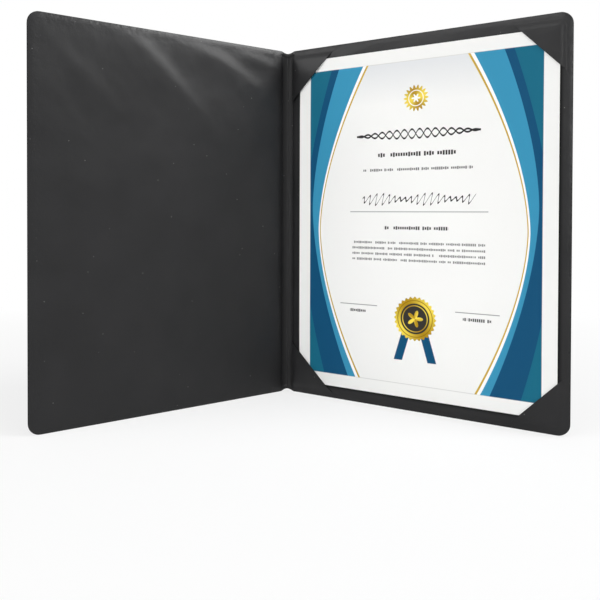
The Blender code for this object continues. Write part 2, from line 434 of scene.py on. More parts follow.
def rim(edge, levels):
    """Height over the seam's middle: a thin lip, a rolled bead, a groove and the flat weld."""
    low, crest, groove = levels
    lip = low * rounded_lip(edge)
    share = np.clip((edge - LIP_WIDTH) / (BEAD_TOP - LIP_WIDTH), 0, 1)
    rise = lip + (crest - low) * np.sqrt(1 - (1 - share) ** 2)
    fall = crest + (groove - crest) * ease(edge, BEAD_TOP, RIM)
    flat = groove + (FLAT_WELD - groove) * ease(edge, RIM, RIM + WELD_FADE)
    return np.where(edge < BEAD_TOP, rise, np.where(edge < RIM, fall, flat))


def from_curve(along, up, start, bend, end):
    """Distance from a bent line, how far along it from 0 to 1, and whether the point is above."""
    share = np.linspace(0, 1, CREST_STEPS + 1)[:, None]
    line = (1 - share) ** 2 * np.array(start) + 2 * share * (1 - share) * np.array(bend)
    line = line + share ** 2 * np.array(end)
    gaps = np.hypot(along[:, None] - line[:, 0], up[:, None] - line[:, 1])
    nearest = gaps.argmin(axis=1)
    return gaps.min(axis=1), nearest / CREST_STEPS, up > line[nearest, 1]


def buckles(along, up, bent_lines):
    """Folds of a loose sheet, steep above the bent line of their crest and gentle below it."""
    total = np.zeros(len(along))
    for start, bend, end, steep, gentle, height in bent_lines:
        gap, share, above = from_curve(along, up, start, bend, end)
        fade = np.sin(math.pi * np.clip(share, *BUCKLE_ENDS)) ** BUCKLE_FADE
        width = np.where(above, steep, gentle)
        total += height * fade * np.exp(-((gap / width) ** 2))
    return total


def drift(along, up, phase):
    """The slow unevenness of padding under a skin, between -1 and 1."""
    wave = np.sin(along / 31 + 1.7 * np.sin(up / 47 + phase)) * np.sin(up / 39 + phase)
    return 0.6 * wave + 0.4 * np.sin(along / 17 - up / 23 + 2 * phase)


# Covers

# Where each sheet buckles: start, bend and end of the crest, its widths above and below, and height
FRONT_BUCKLES = (
    ((168, 299), (135, 286), (76, 224), 7.8, 20.0, 1.2),
    ((118, 292), (66, 294), (6, 246), 6.8, 16.0, 1.15),
    ((56, 293), (32, 292), (8, 283), 4.5, 7.0, 0.5),
    ((224, 284), (202, 272), (172, 240), 8.0, 16.0, 0.35),
    ((230, 262), (214, 244), (192, 212), 9.0, 16.0, 0.25),
    ((11, 300), (13, 190), (11, 10), 10.0, 10.0, 0.7),
)
BACK_BUCKLES = (
    ((78, 296), (56, 292), (30, 286), 3.2, 6.0, 0.55),
    ((150, 294), (128, 292), (104, 293), 3.0, 6.0, 0.2),
    ((50, 297), (40, 294), (28, 291), 2.6, 4.0, 0.5),
    ((228, 240), (230, 150), (228, 60), 3.0, 3.0, 0.1),
)
OUTER_BUCKLES = (
    ((200, 284), (150, 262), (96, 254), 9.0, 20.0, 0.3),
    ((70, 60), (120, 46), (190, 52), 10.0, 22.0, 0.25),
    ((40, 210), (58, 170), (52, 120), 10.0, 20.0, 0.2),
)


def outer_skin(name, cad_node, place, body, phase):
    """The outer leatherette: a bead on the edge, a weld groove and a rolled, crowned pad."""
    near = LIP + from_border(SPINE_LIP)
    piece = flat_grid(name, between(near, REACH - from_border(RIM), FIELD_CELL), rows_up())
    flat = points_of(piece)
    along, up, edge, pad = rounded(flat[:, 0], flat[:, 1])
    weld = rim(edge, OUTER_RIM)
    field = OUTER_FACE + PAD_CROWN * (ease(pad, 0, CROWN_REACH) - 1)
    share = np.clip(pad / SHOULDER, 0, 1)
    rolled = np.sqrt(np.maximum(1 - (1 - share) ** 2, 0))
    loose = OUTER_DRIFT * drift(along, up, phase) + buckles(along, up, OUTER_BUCKLES)
    out = weld + (field - weld) * rolled + ease(pad, *OUTER_LOOSE) * loose
    lay(piece, place, along, out, up, 1, edge)
    finish_sheet(piece, SKIN, outer_looks, place)
    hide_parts(cad_node)
    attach(piece, body)


def liner_face(edge, along):
    """How far in the liner lies: it swells gently from the edges and rolls down at the spine."""
    weld = rim(edge, INNER_RIM)
    field = -INNER_FACE + LINER_CROWN * (ease(edge - RIM, 0, LINER_CROWN_REACH) - 1)
    lip = INNER_RIM[0] * rounded_lip(edge)
    share = np.clip((edge - LIP_WIDTH) / (LINER_SWELL - LIP_WIDTH), 0, 1)
    field = lip + (field - INNER_RIM[0]) * (1 - (1 - share) ** 2)
    share = np.clip((along - LIP - SPINE_GROOVE) / SPINE_ROLL, 0, 1)
    rolled = np.sqrt(np.maximum(1 - (1 - share) ** 2, 0))
    return -(weld + (field - weld) * rolled)


def stations_for_shade(stations, low, high):
    """Stations with closer ones added just outside the edges of the card, where its painted shadow
    fades.
    """
    steps = CARD_SHADE_REACH * np.linspace(0, 1, SHADE_STEPS)
    kept = [at for at in stations if min(abs(at - low), abs(at - high)) > SHADE_CLEARANCE]
    return np.unique(np.concatenate([kept, low - steps, high + steps]).round(4))


def card_shade(along, up):
    """Painted shadow of the card on the liner: 1 at the card, and 0 away from it."""
    past = np.maximum(along - card_high[0], card_low[2] - up)
    beside = np.maximum(card_low[0] - along, up - card_high[2])
    deep = 1 - ease(past, CARD_SHADE_FROM, CARD_SHADE_REACH)
    faint = FAINT_SHADE_SHARE * (1 - ease(beside, 0, FAINT_SHADE_REACH))
    return np.where(beside < 0, deep, faint)


def inner_skin(name, cad_node, place, body, bent_lines, phase):
    """The liner: the same weld seen from inside, and a flat field that buckles softly."""
    across = between(LIP + from_spine(), REACH - from_border(RIM), FIELD_CELL)
    rise = rows_up()
    if body == "back_cover":
        across = stations_for_shade(across, card_low[0], card_high[0])
        rise = stations_for_shade(rise, card_low[2], card_high[2])
    piece = flat_grid(name, across, rise)
    flat = points_of(piece)
    along, up, edge, pad = rounded(flat[:, 0], flat[:, 1])
    loose = LINER_DRIFT * drift(along, up, phase) + buckles(along, up, bent_lines)
    out = liner_face(edge, along) - ease(pad, *LINER_LOOSE) * loose
    # The card's painted shadow, dark past its outer and lower edges and fainter beside the others
    painted_shade = card_shade(along, up) if body == "back_cover" else None
    lay(piece, place, along, out, up, -1, edge, painted_shade)
    finish_sheet(piece, SKIN, inner_looks, place)
    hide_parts(cad_node)
    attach(piece, body)


# Corner pockets

def pocket_sheet(name, at_spine, start, turn, foot, climb, spread):
    """A flat grid over one corner of the cover, cut off straight where the pocket's mouth is."""
    across = np.maximum(from_spine() if at_spine else from_border(RIM), POCKET_SET_IN)
    rise = np.maximum(from_border(RIM), POCKET_SET_IN)
    across = np.unique(np.append(across, np.arange(across[-1], spread + 2, POCKET_CELL)))
    rise = np.unique(np.append(rise, np.arange(rise[-1], spread + 2, POCKET_CELL)))
    piece = flat_grid(name, np.sort(start + turn * across), np.sort(foot + climb * rise))
    bpy.ops.object.mode_set(mode="EDIT")
    bpy.ops.mesh.select_all(action="SELECT")
    bpy.ops.mesh.bisect(
        plane_co=(start + turn * spread, foot, 0), plane_no=(turn, climb, 0), clear_outer=True
    )
    bpy.ops.object.mode_set(mode="OBJECT")
    return piece


def lifted_mouth(inward, upward, spread):
    """How far the pocket's mouth lifts off the card, most at its middle."""
    to_mouth = (spread - inward - upward) / math.sqrt(2)
    off_middle = np.clip(np.abs(inward - upward) / spread, 0, 1)
    return MOUTH_LIFT * np.exp(-((to_mouth / MOUTH_REACH) ** 2)) * (1 - off_middle ** 2)


def corner_pocket(name, cad_node, at_spine, at_top):
    """A corner of liner sheet, welded in with the rim, which climbs over the card's corner."""
    start, turn = (LIP, 1) if at_spine else (REACH, -1)
    foot, climb = (HEIGHT, -1) if at_top else (0, 1)
    low, high = local_box(cad_node, BACK)
    spread = high[0] - low[0] + 2 * POCKET_SET_IN
    piece = pocket_sheet(name, at_spine, start, turn, foot, climb, spread)
    flat = points_of(piece)
    mouth = lifted_mouth(turn * (flat[:, 0] - start), climb * (flat[:, 1] - foot), spread)
    along, up, edge, _ = rounded(flat[:, 0], flat[:, 1])
    inset = turn * (along - start)
    if at_spine:
        inset = inset + POCKET_OVER_SPINE
    else:
        inset = (inset - RIM) * TOP_BORDER / SIDE_BORDER
    above = climb * (up - foot) - RIM
    soft = np.exp(-inset / POCKET_CORNER) + np.exp(-above / POCKET_CORNER)
    soft = -POCKET_CORNER * np.log(soft)
    bulge = POCKET_BULGE
    if at_spine:
        bulge = SPINE_POCKET_BULGE * ease(inset, POCKET_OVER_SPINE, POCKET_SWELL)
    climb_off = ease(soft, *POCKET_RAMP) * (INNER_FACE - POCKET_OVER_LINER - POCKET_FACE)
    climb_off = climb_off + ease(soft, 0, POCKET_SWELL) * bulge
    over = POCKET_AT_WELD + (POCKET_OVER_LINER - POCKET_AT_WELD) * ease(edge, *POCKET_OFF_WELD)
    out = liner_face(edge, along) - over - climb_off - ease(soft, *MOUTH_RAMP) * mouth
    lay(piece, BACK, along, out, up, -1, edge)
    finish_sheet(piece, POCKET_PLY, inner_looks, BACK)
    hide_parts(cad_node)
    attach(piece, "back_cover")


# Spine and folds

def strip(name, columns, facing, looks):
    """An upright strip through columns of place, and of outward normal."""
    piece = flat_grid(name, np.arange(len(columns), dtype=float), rows_up())
    flat = points_of(piece)
    column = np.rint(flat[:, 0]).astype(int)
    point, normal = (np.array(part)[column] for part in zip(*columns))
    drawn_in = dip(point[:, 0])
    edge = np.minimum(flat[:, 1], HEIGHT - flat[:, 1])
    up = drawn_in + flat[:, 1] * (1 - 2 * drawn_in / HEIGHT)
    levels = OUTER_RIM if facing > 0 else INNER_RIM
    place = point + normal * (facing * rim(edge, levels))[:, None]
    # Painted shade along the spine and folds, less on the crease, which stands as a painted
    # highlight
    crease_highlight = np.exp(-((point[:, 0] / (CREASE_HIGHLIGHT_WIDTH * CREASE_WIDTH)) ** 2))
    painted_shade = SPINE_SHADE * (1 - CREASE_HIGHLIGHT_SHARE * crease_highlight)
    lay(piece, SPINE, place[:, 0], place[:, 1], up, facing, edge, painted_shade)
    finish_sheet(piece, SKIN, looks, SPINE)
    return piece


def valley(across, facing):
    """A column of the soft valley from lip to lip, with a raised crease on its inside."""
    depth = VALLEY + LIP_BACK
    sunk = VALLEY - depth * (across / LIP_ACROSS) ** 2
    if facing < 0:
        sunk -= CREASE * math.exp(-((across / CREASE_WIDTH) ** 2))
    lean = math.atan(2 * depth * across / LIP_ACROSS ** 2)
    lean *= TURN / math.atan(2 * depth / LIP_ACROSS)
    return (across, sunk), (math.sin(lean), math.cos(lean))


def spine_and_folds(facing, word, looks, cad_word, spine_node):
    """One sheet's strips: the spine rides on its body, and each fold is baked where it lies."""
    across = np.linspace(-SPINE_HALF, SPINE_HALF, SPINE_CELLS + 1)
    columns = [valley(station, facing) for station in across]
    piece = strip(f"spine_{word}", columns, facing, looks)
    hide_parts(spine_node)
    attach(piece, "spine")
    for side, cover in ((1, "back"), (-1, "front")):
        across = side * np.linspace(SPINE_HALF, LIP_ACROSS, FOLD_CELLS + 1)
        columns = [valley(station, facing) for station in across]
        piece = strip(f"{cover}_fold_{word}", columns, facing, looks)
        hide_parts(f"{cover}_fold_{cad_word}")
        if cover == "back":
            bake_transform(piece)
        else:
            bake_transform(piece)


# The certificate and the foam pads

def certificate():
    """A printed card sheet, which bows a little between its four pockets."""
    width, tall = card_high[0] - card_low[0], card_high[2] - card_low[2]
    across = np.linspace(card_low[0], card_high[0], round(width / CARD_CELL) + 1)
    rise = np.linspace(card_low[2], card_high[2], round(tall / CARD_CELL) + 1)
    piece = flat_grid("certificate_card", across, rise)
    flat = points_of(piece)
    side = 2 * (flat[:, 0] - card_low[0]) / width - 1
    climb = 2 * (flat[:, 1] - card_low[2]) / tall - 1
    held = ease(np.abs(side), FREE_ACROSS, 1) * ease(np.abs(climb), FREE_UP, 1)
    bow = CARD_BOW * (1 - held)
    bow = bow + CARD_WAVE * np.sin(3 * side + 2 * climb)
    no_rim = np.full(len(flat), CORNER_RADIUS)
    lay(piece, BACK, flat[:, 0], CARD_FACE - bow, flat[:, 1], -1, no_rim)
    finish_sheet(piece, CARD, (printed_card,))
    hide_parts("certificate_sheet")
    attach(piece, "back_cover")


def foam_block(name, size):
    """A box with round corners and a crowned outside, about the origin and in millimetres."""
    deselect()
    bpy.ops.mesh.primitive_cube_add(size=1)
    piece = bpy.context.object
    piece.name = piece.data.name = name
    piece.data.transform(Matrix.Diagonal((size[0], size[1] - FOAM_PINCH, size[2], 1)))
    bpy.ops.object.mode_set(mode="EDIT")
    bpy.ops.mesh.select_mode(type="EDGE")
    bpy.ops.mesh.select_all(action="DESELECT")
    bpy.ops.object.mode_set(mode="OBJECT")
    corners = points_of(piece)
    for edge in piece.data.edges:
        first, second = edge.vertices
        through = abs(corners[first][1] - corners[second][1])
        edge.select = bool(through > FOAM_PINCH)
    bpy.ops.object.mode_set(mode="EDIT")
    bpy.ops.mesh.bevel(offset=CORNER_RADIUS - RIM - FOAM_TIGHTER, segments=FOAM_CORNER_STEPS)
    bpy.ops.mesh.select_mode(type="FACE")
    bpy.ops.mesh.select_all(action="DESELECT")
    bpy.ops.object.mode_set(mode="OBJECT")
    for face in piece.data.polygons:
        face.select = face.normal.y > FOAM_OUTWARD
    bpy.ops.object.mode_set(mode="EDIT")
    bpy.ops.mesh.inset(thickness=CROWN_REACH / 2)
    bpy.ops.transform.translate(value=(0, FOAM_CROWN, 0))
    bpy.ops.object.mode_set(mode="OBJECT")
    return piece


def foam_pad(name, cad_node, place, body):
    """A die-cut pad of soft foam, pinched between the board and the skin."""
    low, high = local_box(cad_node, place)
    piece = foam_block(name, high - low)
    piece.data.transform(place @ Matrix.Translation((high + low) / 2))
    if place.determinant() < 0:
        piece.data.flip_normals()
    rounding = {"width": FOAM_ROUNDING * MM, "segments": 3, "limit_method": "ANGLE"}
    apply_modifier(piece, "BEVEL", **rounding)
    bpy.ops.object.shade_smooth_by_angle(angle=SMOOTH_ANGLE)
    piece.data.materials.clear()
    piece.data.materials.append(polyurethane_foam)
    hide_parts(cad_node)
    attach(piece, body)


# Materials

def linear(hex_colour):
    """An sRGB hex colour as linear red, green, blue and alpha."""
    parts = [int(hex_colour[place:place + 2], 16) / 255 for place in (0, 2, 4)]
    parts = [part / 12.92 if part <= 0.04045 else ((part + 0.055) / 1.055) ** 2.4 for part in parts]
    return (*parts, 1.0)


def node(tree, kind, inputs=(), out=0, **settings):
    """Adds a shader node with its settings, fills or links its inputs, and gives an output."""
    made = tree.nodes.new("ShaderNode" + kind)
    for name, value in settings.items():
        setattr(made, name, value)
    pairs = inputs.items() if isinstance(inputs, dict) else enumerate(inputs)
    for key, value in pairs:
        if isinstance(value, bpy.types.NodeSocket):
            tree.links.new(value, made.inputs[key])
        else:
            made.inputs[key].default_value = value
    return made.outputs[out] if made.outputs else None


def new_material(name):
    """An empty material and its tree."""
    made = bpy.data.materials.new(name)
    made.use_nodes = True
    made.node_tree.nodes.clear()
    return made, made.node_tree


def vinyl(name, dark, light, rough, grain, relief, specks):
    """Plasticised PVC sheet: embossed pebbles with pores, slow ripples, and a smoother weld."""
    made, tree = new_material(name)
    spot = node(tree, "TexCoord", out="Object")
    edge = node(tree, "Attribute", out="Fac", attribute_name="from_edge")
    painted_shade = node(tree, "Attribute", out="Fac", attribute_name="painted_shade")

    # Relief: pebbles and pores, which the weld has flattened, puckers beside it, slow ripples
    pebbles = node(tree, "TexVoronoi", {"Vector": spot, "Scale": 1 / (grain * MM)})
    pores = {"Vector": spot, "Scale": 1 / (0.4 * grain * MM), "Detail": 3.0}
    pores = node(tree, "TexNoise", pores)
    fine = node(tree, "Math", (pores, 0.5, pebbles), operation="MULTIPLY_ADD")
    grained = node(tree, "MapRange", (edge, *GRAIN_RETURNS, 0.3, 1.0))
    fine = {"Strength": grained, "Distance": relief * MM, "Height": fine}
    surface = node(tree, "Bump", fine)
    puckers = node(tree, "TexNoise", {"Vector": spot, "Scale": 1 / (5 * MM), "Detail": 2.0})
    beside_weld = node(tree, "MapRange", (edge, *PUCKERS_END, 1.0, 0.12))
    puckers = {"Strength": beside_weld, "Distance": 0.3 * MM, "Height": puckers, "Normal": surface}
    surface = node(tree, "Bump", puckers)
    ripples = node(tree, "TexNoise", {"Vector": spot, "Scale": 1 / (22 * MM), "Detail": 1.5})
    ripples = {"Strength": 1.0, "Distance": 0.5 * MM, "Height": ripples, "Normal": surface}
    surface = node(tree, "Bump", ripples)

    # Colour: slightly cloudy black, near black where shade is painted in, with a few pale specks of
    # dust
    cloud = node(tree, "TexNoise", {"Vector": spot, "Scale": 1 / (45 * MM), "Detail": 4.0})
    cloudy = node(tree, "MapRange", (cloud, 0.3, 0.7))
    blend = {0: cloudy, 6: linear(dark), 7: linear(light)}
    base = node(tree, "Mix", blend, out=2, data_type="RGBA")
    # Painted shade: the card's painted shadow on the liner and the shade painted along the spine
    blend = {0: painted_shade, 6: base, 7: linear("020202")}
    base = node(tree, "Mix", blend, out=2, data_type="RGBA")
    dust = node(tree, "TexVoronoi", {"Vector": spot, "Scale": 1 / (10 * MM)})
    dusty = node(tree, "MapRange", (dust, specks, 0.8 * specks))
    blend = {0: dusty, 6: base, 7: linear("6e6e6c")}
    base = node(tree, "Mix", blend, out=2, data_type="RGBA")

    # Gloss: satin, a little patchy, shinier on the weld and duller where shade is painted in
    patchy = node(tree, "MapRange", (cloud, 0.3, 0.7, rough - 0.03, rough + 0.04))
    welded = node(tree, "MapRange", (edge, *SHINE_ENDS, -0.08, 0.0))
    satin = node(tree, "Math", (patchy, welded), operation="ADD")
    satin = node(tree, "Math", (painted_shade, 0.35, satin), operation="MULTIPLY_ADD")
    shader = {"Base Color": base, "Roughness": satin, "Specular IOR Level": 0.22, "Normal": surface}
    shader = node(tree, "BsdfPrincipled", shader)
    node(tree, "OutputMaterial", {"Surface": shader})
    return made


def cut_edge_shade_vinyl():
    """The trimmed edge of the weld: dull, and darker than the faces as painted shade along rims and
    mouths.
    """
    made, tree = new_material("pvc_weld_edge_trimmed_painted_shade")
    spot = node(tree, "TexCoord", out="Object")
    ragged = node(tree, "TexNoise", {"Vector": spot, "Scale": 1 / (0.8 * MM), "Detail": 3.0})
    blend = {0: ragged, 6: linear("070707"), 7: linear("121212")}
    base = node(tree, "Mix", blend, out=2, data_type="RGBA")
    surface = node(tree, "Bump", {"Strength": 0.6, "Distance": 0.1 * MM, "Height": ragged})
    shader = {"Base Color": base, "Roughness": 0.7, "Specular IOR Level": 0.15, "Normal": surface}
    shader = node(tree, "BsdfPrincipled", shader)
    node(tree, "OutputMaterial", {"Surface": shader})
    return made


def stock(name, light, dark, cell, relief, rough):
    """A dull, mottled stock such as foam or greyboard."""
    made, tree = new_material(name)
    spot = node(tree, "TexCoord", out="Object")
    cells = node(tree, "TexVoronoi", {"Vector": spot, "Scale": 1 / (cell * MM)})
    fibres = {"Vector": spot, "Scale": 1 / (3 * cell * MM), "Detail": 5.0}
    fibres = node(tree, "TexNoise", fibres)
    blend = {0: fibres, 6: linear(light), 7: linear(dark)}
    base = node(tree, "Mix", blend, out=2, data_type="RGBA")
    surface = node(tree, "Bump", {"Strength": 0.6, "Distance": relief * MM, "Height": cells})
    shader = {"Base Color": base, "Roughness": rough, "Normal": surface}
    shader = node(tree, "BsdfPrincipled", shader)
    node(tree, "OutputMaterial", {"Surface": shader})
    return made


# The print on the card, in millimetres from the middle of the sheet

def inked(tree, under, colour, distance, clip=None):
    """Ink laid over what is under it wherever the distance, and that of a clip, is below zero."""
    if clip is not None:
        distance = node(tree, "Math", (distance, clip), operation="MAXIMUM")
    share = node(tree, "MapRange", (distance, INK_EDGE, -INK_EDGE))
    return node(tree, "Mix", {0: share, 6: under, 7: colour}, out=2, data_type="RGBA")


def bar(tree, value, middle, half):
    """Distance outside a band of one coordinate."""
    off = node(tree, "Math", (value, middle), operation="SUBTRACT")
    off = node(tree, "Math", (off,), operation="ABSOLUTE")
    return node(tree, "Math", (off, half), operation="SUBTRACT")


def box(tree, across, up, middle, half):
    """Distance outside a rectangle."""
    sides = bar(tree, across, middle[0], half[0]), bar(tree, up, middle[1], half[1])
    return node(tree, "Math", sides, operation="MAXIMUM")


def polar(tree, across, up, middle):
    """Distance and angle from a point."""
    x = node(tree, "Math", (across, middle[0]), operation="SUBTRACT")
    y = node(tree, "Math", (up, middle[1]), operation="SUBTRACT")
    flat = node(tree, "CombineXYZ", (x, y))
    radius = node(tree, "VectorMath", (flat,), out="Value", operation="LENGTH")
    return radius, node(tree, "Math", (y, x), operation="ARCTAN2")


def scalloped(tree, radius, angle, size, depth, points):
    """Distance outside a round whose rim waves in and out."""
    turns = node(tree, "Math", (angle, float(points)), operation="MULTIPLY")
    wave = node(tree, "Math", (turns,), operation="COSINE")
    reach = node(tree, "Math", (wave, depth, size), operation="MULTIPLY_ADD")
    return node(tree, "Math", (radius, reach), operation="SUBTRACT")


def foil(tree, angle, turn):
    """Gold that is lighter and darker round a ring, as brushed foil is."""
    turns = node(tree, "Math", (angle, 2.0, turn), operation="MULTIPLY_ADD")
    sheen = node(tree, "Math", (turns,), operation="SINE")
    share = node(tree, "MapRange", (sheen, -1, 1))
    blend = {0: share, 6: linear("b08a12"), 7: linear("f4dc52")}
    return node(tree, "Mix", blend, out=2, data_type="RGBA")


def side_sweep(tree, side, up, waist, narrow, widen):
    """Distance outside a curved band along both sides, wide at the corners and narrow between."""
    climb = node(tree, "Math", (up, waist), operation="SUBTRACT")
    climb = node(tree, "Math", (climb,), operation="ABSOLUTE")
    climb = node(tree, "Math", (climb, 1 / PANEL[1]), operation="MULTIPLY")
    bend = node(tree, "Math", (climb, 1.7), operation="POWER")
    width = node(tree, "Math", (bend, widen, narrow), operation="MULTIPLY_ADD")
    return node(tree, "Math", (side, width), operation="SUBTRACT")


def wave_line(tree, across, up, level, length, swing, reach, weight):
    """Distance outside a wavy line whose swing dies away at both ends."""
    angle = node(tree, "Math", (across, math.tau / length), operation="MULTIPLY")
    wave = node(tree, "Math", (angle,), operation="SINE")
    share = node(tree, "Math", (across, 1 / reach), operation="MULTIPLY")
    square = node(tree, "Math", (share, share), operation="MULTIPLY")
    fade = node(tree, "Math", (square, -swing, swing), operation="MULTIPLY_ADD")
    height = node(tree, "Math", (wave, fade, level), operation="MULTIPLY_ADD")
    off = bar(tree, node(tree, "Math", (up, height), operation="SUBTRACT"), 0.0, weight)
    return node(tree, "Math", (off, bar(tree, across, 0.0, reach)), operation="MAXIMUM")


def greeked(tree, across, up, middle, half_width, rows, pitch, tall, letter):
    """Distance outside rows of small blocks, a few of them taller, in groups with gaps between."""
    top = middle[1] + rows * pitch / 2
    below = node(tree, "Math", (top, up), operation="SUBTRACT")
    line = node(tree, "Math", (below, 1 / pitch), operation="MULTIPLY")
    row = node(tree, "Math", (line,), operation="FLOOR")
    within = node(tree, "Math", (line,), operation="FRACT")
    within = node(tree, "Math", (within, pitch), operation="MULTIPLY")
    place = node(tree, "Math", (across, 1 / letter), operation="MULTIPLY")
    cell = node(tree, "Math", (place,), operation="FLOOR")
    spot = node(tree, "CombineXYZ", (cell, row))
    chance = node(tree, "TexWhiteNoise", {"Vector": spot}, noise_dimensions="2D")
    height = node(tree, "MapRange", (chance, 0.6, 0.62, 0.36 * tall, 0.5 * tall))
    gap = node(tree, "Math", (0.14, chance), operation="SUBTRACT")
    gap = node(tree, "Math", (gap, 20.0), operation="MULTIPLY")
    off = bar(tree, within, pitch / 2, 0.0)
    off = node(tree, "Math", (off, height), operation="SUBTRACT")
    off = node(tree, "Math", (off, gap), operation="MAXIMUM")
    stem = node(tree, "Math", (place,), operation="FRACT")
    stem = node(tree, "Math", (stem, letter), operation="MULTIPLY")
    stem = bar(tree, stem, letter / 2, 0.36 * letter)
    off = node(tree, "Math", (off, stem), operation="MAXIMUM")
    block = box(tree, across, up, middle, (half_width, rows * pitch / 2))
    return node(tree, "Math", (off, block), operation="MAXIMUM")


def flourish(tree, across, up, level, reach):
    """Distance outside a pen stroke of leaning loops that swell and shrink along the line."""
    lean = node(tree, "Math", (up, level), operation="SUBTRACT")
    slanted = node(tree, "Math", (lean, -0.45, across), operation="MULTIPLY_ADD")
    slow = node(tree, "Math", (slanted, 1 / 6.7), operation="MULTIPLY")
    swell = node(tree, "Math", (slow,), operation="SINE")
    swell = node(tree, "MapRange", (swell, -1, 1, 1.3, 4.6))
    phase = node(tree, "Math", (slow,), operation="COSINE")
    angle = node(tree, "Math", (slanted, math.tau / 5.2, phase), operation="MULTIPLY_ADD")
    wave = node(tree, "Math", (angle,), operation="SINE")
    height = node(tree, "Math", (wave, swell), operation="MULTIPLY")
    off = bar(tree, node(tree, "Math", (lean, height), operation="SUBTRACT"), 0.0, 0.8)
    return node(tree, "Math", (off, bar(tree, slanted, 0.0, reach)), operation="MAXIMUM")


def sheet_ground(tree, flat, up, panel):
    """Stock, a soft grey fall of light under the panel's top, and the pale keyline round it."""
    fibre = node(tree, "TexNoise", {"Vector": flat, "Scale": 2.5, "Detail": 4.0})
    blend = {0: fibre, 6: linear("f8f8f6"), 7: linear("f2f2f0")}
    paper = node(tree, "Mix", blend, out=2, data_type="RGBA")
    fall = node(tree, "MapRange", (up, 96, PANEL[1]))
    blend = {0: fall, 6: paper, 7: linear("e2e4e6")}
    inside = node(tree, "Mix", blend, out=2, data_type="RGBA")
    paint = inked(tree, paper, inside, panel)
    return fibre, inked(tree, paint, linear("dcdcda"), bar(tree, panel, 0.0, 0.3))


def side_bands(tree, paint, side, up, panel):
    """Curved bands down both sides, the widest first, which leaves a gold line inside them."""
    for colour, waist, narrow, widen in (
        ("c9a632", -6.0, 10.4, 41.6),
        ("ffffff", -6.0, 9.6, 40.6),
        ("3a93b8", -6.0, 8.4, 39.0),
        ("0e4e74", 12.0, 2.4, 30.0),
        ("166882", -10.0, -6.5, 24.0),
    ):
        sweep = side_sweep(tree, side, up, waist, narrow, widen)
        paint = inked(tree, paint, linear(colour), sweep, panel)
    return paint


def head_ornament(tree, paint, across, up):
    """A gold sunburst, with a dark braided rule under it."""
    radius, angle = polar(tree, across, up, (0, 99))
    gold = foil(tree, angle, 0.9)
    paint = inked(tree, paint, gold, scalloped(tree, radius, angle, 9.2, 1.3, 18))
    paint = inked(tree, paint, linear("fbfbf8"), bar(tree, radius, 6.1, 0.35))
    paint = inked(tree, paint, linear("fbfbf8"), scalloped(tree, radius, angle, 2.6, 1.1, 6))
    for swing in (3.6, -3.6):
        braid = wave_line(tree, across, up, 71.0, 13.0, swing, 52.0, 0.75)
        paint = inked(tree, paint, linear("262626"), braid)
    return paint


def greeked_text(tree, paint, across, up):
    """Lines of greeked text, a pen flourish over its rule, and the rules for two signatures."""
    for middle, half_width, rows, pitch, tall, letter, colour in (
        ((0, 55), 33, 1, 6.0, 3.6, 2.2, "303030"),
        ((0, 43), 46, 1, 4.0, 2.2, 1.6, "6a6a6a"),
        ((0, -4), 27, 1, 5.0, 2.8, 1.9, "3a3a3a"),
        ((0, -23), 56, 4, 4.6, 1.9, 1.4, "7a7a7a"),
        ((-50, -73), 8, 1, 4.0, 2.4, 1.6, "4a4a4a"),
        ((50, -73), 11, 1, 4.0, 2.4, 1.6, "4a4a4a"),
    ):
        text = greeked(tree, across, up, middle, half_width, rows, pitch, tall, letter)
        paint = inked(tree, paint, linear(colour), text)
    paint = inked(tree, paint, linear("1c1c1c"), flourish(tree, across, up, 19.0, 47.0))
    for middle, half_width in (((0, 9), 58), ((-50, -68), 17), ((50, -68), 17)):
        rule = box(tree, across, up, middle, (half_width, 0.3))
        paint = inked(tree, paint, linear("8c8c8c"), rule)
    return paint


def rosette_seal(tree, paint, across, up, half):
    """A gold rosette on two ribbon tails."""
    tails = node(tree, "Math", (up, 0.3, half), operation="MULTIPLY_ADD")
    tails = bar(tree, tails, -18.6, 3.6)
    tails = node(tree, "Math", (tails, bar(tree, up, -92.0, 18.0)), operation="MAXIMUM")
    paint = inked(tree, paint, linear("0e4e74"), tails)
    radius, angle = polar(tree, across, up, (0, -76))
    gold = foil(tree, angle, 0.4)
    paint = inked(tree, paint, gold, scalloped(tree, radius, angle, 17.0, 0.7, 28))
    paint = inked(tree, paint, linear("8f6f0c"), bar(tree, radius, 14.6, 0.3))
    paint = inked(tree, paint, linear("33312e"), bar(tree, radius, 0.0, 12.2))
    paint = inked(tree, paint, gold, bar(tree, radius, 10.4, 0.35))
    return inked(tree, paint, gold, scalloped(tree, radius, angle, 4.6, 2.3, 5))


